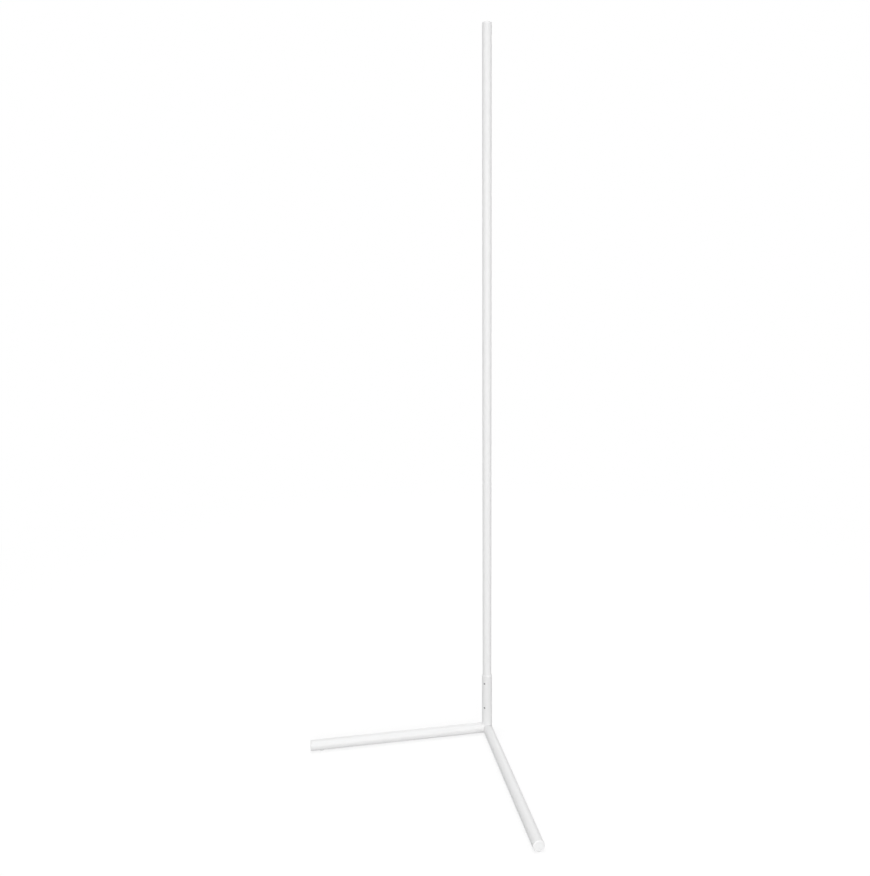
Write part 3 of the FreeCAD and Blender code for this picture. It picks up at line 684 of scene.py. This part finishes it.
def line_to(shape, vert, x, y):
    """Extrudes a point to a new place and returns it."""
    made = bmesh.ops.extrude_vert_indiv(shape, verts=[vert])["verts"][0]
    made.co = (x, y, 0)
    return made


def radial_to(shape, vert, radius):
    """Extrudes a point straight in or out to a radius and returns it."""
    away = vert.co.normalized() * radius
    return line_to(shape, vert, away.x, away.y)


# %% Fill a section and raise it
def filled_and_raised(shape, bottom, top):
    """Mirrors a half section, fills it and extrudes it from one height to another."""
    bmesh.ops.mirror(shape, geom=shape.verts[:] + shape.edges[:], axis="X", merge_dist=MERGE)
    bmesh.ops.remove_doubles(shape, verts=shape.verts, dist=MERGE)
    bmesh.ops.triangle_fill(shape, edges=shape.edges[:], use_beauty=True)
    bmesh.ops.translate(shape, vec=UP * bottom, verts=shape.verts)
    made = bmesh.ops.extrude_face_region(shape, geom=shape.faces[:], use_keep_orig=True)["geom"]
    raised = [item for item in made if isinstance(item, bmesh.types.BMVert)]
    bmesh.ops.translate(shape, vec=UP * (top - bottom), verts=raised)
    return shape


# %% The aluminium lengths
PROFILE_WALL, LIP_THICK = 1.6 * MM, 0.7 * MM
INNER_R = POLE_R - PROFILE_WALL
LIP_R = INNER_R - LIP_THICK
SHELF_FACE, SHELF_BACK = 1.2 * MM, -0.2 * MM
LIP = 8                          # degrees
SAW_EDGE = 0.12 * MM             # the sawn ends are lightly broken at the seam


def profile_section():
    """Half of the aluminium's section: the wall, the mouth's lip, the shelf, and the channel before it."""
    shape = bmesh.new()
    rim = start_line(shape, POLE_R, MOUTH)
    arc_to(shape, rim, 180 - MOUTH)
    lip = arc_to(shape, radial_to(shape, rim, LIP_R), LIP)
    wall = radial_to(shape, lip, INNER_R)
    shelf_angle = math.degrees(math.acos(SHELF_FACE / INNER_R))
    shelf = arc_to(shape, wall, shelf_angle - MOUTH - LIP)
    line_to(shape, shelf, 0, SHELF_FACE)
    channel = shape.verts.new((0, SHELF_BACK, 0))
    channel_angle = math.acos(SHELF_BACK / INNER_R)
    corner = line_to(shape, channel, INNER_R * math.sin(channel_angle), SHELF_BACK)
    arc_to(shape, corner, 180 - math.degrees(channel_angle))
    return shape


for name, bottom, top, ring in (("lower", PROFILE_BOTTOM, SEAM, SEAM - HOLD),
                                ("upper", SEAM, PROFILE_TOP, SEAM + HOLD)):
    shape = filled_and_raised(profile_section(), bottom, top)
    bmesh.ops.bisect_plane(shape, geom=everything(shape), plane_co=UP * ring, plane_no=UP)
    bevel_rims(shape, [(POLE_R, SEAM)], SAW_EDGE, 2)
    finished(shape, "pole_" + name, "pole", [name + "_profile"], POLE_PAINT)

# %% The snap-in covers
COVER_WALL, SNAP_LEG, SNAP_FIT = 1.3 * MM, 0.8 * MM, 0.1 * MM
BARB, COVER_THICK_END = 4, 10    # degrees


def cover_section():
    """Half of the cover's section: a thin arc, and a leg with a barb that holds behind the lip."""
    shape = bmesh.new()
    edge = MOUTH - math.degrees(SNAP_FIT / POLE_R)
    leg_out = LIP_R - SNAP_FIT
    leg_in = leg_out - SNAP_LEG
    lip_end = MOUTH + LIP + math.degrees(SNAP_FIT / INNER_R)
    rim = arc_to(shape, start_line(shape, POLE_R, 0), edge)
    leg = arc_to(shape, radial_to(shape, rim, leg_out), lip_end - edge)
    tip = arc_to(shape, radial_to(shape, leg, INNER_R - SNAP_FIT), BARB)
    root = arc_to(shape, radial_to(shape, tip, leg_in), edge - COVER_THICK_END - lip_end - BARB)
    arc_to(shape, radial_to(shape, root, POLE_R - COVER_WALL), COVER_THICK_END - edge)
    return shape


for name, bottom, top, slot, material in (("lower", PROFILE_BOTTOM, SEAM, "diffuser_low", OPAL_LOW),
                                          ("upper", SEAM, PROFILE_TOP, "diffuser_high", OPAL_HIGH)):
    finished(filled_and_raised(cover_section(), bottom, top), "cover_" + name, "pole", [name + "_diffuser"],
             material)

# %% [markdown]
# The pole's top cap is a thin disc with a D-shaped tongue that plugs into the channel in front of the shelf.
# The tongue is a round bar that a plane cuts in two and closes again.

# %% The top cap
TONGUE_LONG, TONGUE_FIT, TONGUE_LAP = 12 * MM, 0.1 * MM, 0.5 * MM
TOP_ROUND = 0.6 * MM

disc = lathed([(0, PROFILE_TOP), (POLE_R, PROFILE_TOP), (POLE_R, LAMP_TOP), (POLE_R - HOLD, LAMP_TOP),
               (0, LAMP_TOP)])
bevel_rims(disc, [(POLE_R, LAMP_TOP)], TOP_ROUND, 4)
tongue = bar(INNER_R - TONGUE_FIT, UP * (PROFILE_TOP - TONGUE_LONG), UP, TONGUE_LONG + TONGUE_LAP)
cut = bmesh.ops.bisect_plane(tongue, geom=everything(tongue), plane_co=(0, SHELF_BACK - TONGUE_FIT, 0),
                             plane_no=BACK, clear_outer=True)
open_rim = [item for item in cut["geom_cut"] if isinstance(item, bmesh.types.BMEdge)]
bmesh.ops.holes_fill(tongue, edges=open_rim)
finished(combined(disc, tongue, "UNION"), "pole_top_cap", "pole", ["top_cap"], CAP_PLASTIC)

# %% [markdown]
# ## The power jack
#
# A round low-voltage jack closes the hub's back. It is a turned shape too: a flange, a barrel, and a hole with
# a round-nosed pin in its middle. A small block behind the barrel is its terminal.

# %% The jack
JACK_HOLE_R, JACK_HOLE, JACK_FLANGE, JACK_BARREL = 2.85 * MM, 9 * MM, 1.2 * MM, 9.5 * MM
JACK_FIT, JACK_EDGE = 0.05 * MM, 0.35 * MM
TERMINAL = (3.6 * MM, 3.4 * MM, 5 * MM)

jack_low, jack_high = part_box("power_inlet")
mouth = jack_high.y
flange, body_back = mouth - JACK_FLANGE, mouth - JACK_FLANGE - JACK_BARREL
barrel_r = JACK_R - JACK_FIT
jack = lathed([(JACK_HOLE_R, mouth), (JACK_FLANGE_R, mouth), (JACK_FLANGE_R, flange), (barrel_r, flange),
               (barrel_r, body_back), (0, body_back), (0, mouth - JACK_HOLE), (JACK_HOLE_R, mouth - JACK_HOLE)])
bevel_rims(jack, [(JACK_FLANGE_R, mouth), (JACK_HOLE_R, mouth)], JACK_EDGE, 3)
terminal = bmesh.new()
bmesh.ops.create_cube(terminal, size=1)
bmesh.ops.scale(terminal, vec=TERMINAL, verts=terminal.verts)
bmesh.ops.translate(terminal, vec=(0, jack_low.y + TERMINAL[1] / 2, AXIS_Z), verts=terminal.verts)
finished(combined(moved(jack, CENTRE, BACK), terminal, "UNION"), "power_jack", "base", ["power_inlet"],
         JACK_PLASTIC)

# %% Its pin
PIN_R, PIN_NOSE = 1.05 * MM, 0.6 * MM

pin_low, pin_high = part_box("inlet_pin")
pin = lathed([(0, pin_low.y), (PIN_R, pin_low.y), (PIN_R, pin_high.y), (0, pin_high.y)], 32)
bevel_rims(pin, [(PIN_R, pin_high.y)], PIN_NOSE, 4)
finished(moved(pin, CENTRE, BACK), "jack_pin", "base", ["inlet_pin"], PIN_METAL)

# %% [markdown]
# ## Pieces that stay as the CAD made them
#
# The pads underneath and everything inside the pole already have the right shape, so they only get a finish.

# %% Finishes for the CAD nodes
KEPT = {
    PAD_RUBBER: ["hub_foot_pad", "leg_foot_pads"],
    BARE_ALUMINIUM: ["pole_foot", "profile_joiner"],
    SCREW_STEEL: ["pole_foot_screw", "joiner_screws"],
    LEAD_JACKET: ["inlet_lead", "pole_lead", "jumper_wires"],
    CONNECTOR_PLASTIC: ["lead_socket", "lead_plug", "strip_socket", "strip_plug"],
    BOARD_MASK: ["controller_board"],
    CHIP_BODY: ["controller_chips"],
    STRIP_FILM: ["lower_led_strip", "upper_led_strip"],
    LED_BODY: ["lower_leds", "upper_leds"],
}
for material, names in KEPT.items():
    for name in names:
        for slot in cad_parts[name].material_slots:
            slot.material = material
print("CAD nodes kept:", sum(len(names) for names in KEPT.values()))

# %% [markdown]
# ## Floor and light
#
# The lamp stands on a plain white floor before a white background. White on white only reads because round bars
# darken towards their edges, so most of the light comes from the camera's side and from above, and the world
# adds a fill from all round. The floor shows its own white to the camera and keeps the lamp's soft shadow,
# which fades out with the distance.

# %% The floor
BOUNCE, SHADED, FLOOR_GLOW = 0.52, 0.26, 0.77    # grey for other rays, grey and glow for the camera
FADE_FROM, FADE_TO = 0.9, 2.2                    # metres from the lamp
FLOOR_HALF = 15


def seen_directly(tree):
    """1 for rays that show the background itself: from the camera, in a reflection or through glass."""
    rays = tree.nodes.new("ShaderNodeLightPath")
    either = math_node(tree, "MAXIMUM", rays.outputs["Is Camera Ray"], rays.outputs["Is Glossy Ray"])
    return math_node(tree, "MAXIMUM", either, rays.outputs["Is Transmission Ray"])


def floor_material():
    """White with a soft shadow where it is seen, and a plain grey bounce for all other light."""
    material = bpy.data.materials.new("white_floor")
    material.use_nodes = True
    tree = material.node_tree
    tree.nodes.remove(tree.nodes["Principled BSDF"])
    bounce = add_node(tree, "ShaderNodeBsdfDiffuse", Color=(BOUNCE, BOUNCE, BOUNCE, 1))
    shaded = add_node(tree, "ShaderNodeBsdfDiffuse", Color=(SHADED, SHADED, SHADED, 1))
    white = add_node(tree, "ShaderNodeEmission", Color=(1, 1, 1, 1), Strength=FLOOR_GLOW)
    near = add_node(tree, "ShaderNodeAddShader", {0: shaded.outputs[0], 1: white.outputs[0]})
    far = add_node(tree, "ShaderNodeEmission", Color=(1, 1, 1, 1), Strength=1.0)
    place = tree.nodes.new("ShaderNodeTexCoord").outputs["Object"]
    distance = add_node(tree, "ShaderNodeVectorMath", {0: place}, operation="LENGTH")
    fade = add_node(tree, "ShaderNodeMapRange", {"Value": distance.outputs["Value"]}, From_Min=FADE_FROM,
                    From_Max=FADE_TO, interpolation_type="SMOOTHSTEP")
    shown = add_node(tree, "ShaderNodeMixShader", {0: fade.outputs[0], 1: near.outputs[0], 2: far.outputs[0]})
    mix = add_node(tree, "ShaderNodeMixShader", {0: seen_directly(tree), 1: bounce.outputs[0],
                                                 2: shown.outputs[0]})
    tree.links.new(mix.outputs[0], tree.nodes["Material Output"].inputs["Surface"])
    return material


plane = bmesh.new()
bmesh.ops.create_grid(plane, x_segments=1, y_segments=1, size=FLOOR_HALF)
floor = as_object(plane, "floor")
floor.data.materials.append(floor_material())

# %% The world
FILL = 0.55

world = bpy.data.worlds.new("studio")
scene.world = world
world.use_nodes = True
tree = world.node_tree
background = tree.nodes["Background"]
fill = add_node(tree, "ShaderNodeMapRange", {"Value": seen_directly(tree)}, To_Min=FILL, To_Max=1.0)
tree.links.new(fill.outputs[0], background.inputs["Strength"])
background.inputs["Color"].default_value = (1, 1, 1, 1)

# %% The lamps
LAMPS = (                        # name, place, target, size in metres, watts
    ("key", (2.55, -3.43, 1.2), (0, -0.1, 0.75), 1.8, 88),
    ("top", (-1.2, -0.7, 10.0), (0, -0.1, 0.0), 4.0, 245),
    ("back", (-2.1, 3.5, 1.4), (0, 0, 0.75), 1.8, 32))


def softbox(name, place, target, size, watts):
    """A square area light that faces a target."""
    data = bpy.data.lights.new(name, "AREA")
    data.shape, data.size, data.energy = "SQUARE", size, watts
    light = bpy.data.objects.new(name, data)
    light.location = place
    light.rotation_euler = (Vector(target) - Vector(place)).to_track_quat("-Z", "Y").to_euler()
    scene.collection.objects.link(light)
    print(f"{name} light: {watts} W, {size} m across, at {place}")


for lamp in LAMPS:
    softbox(*lamp)

# %% [markdown]
# ## The view transform
#
# The view transform is Standard, so a colour renders as it is written.

# %% Set the view transform
scene.view_settings.view_transform = "Standard"
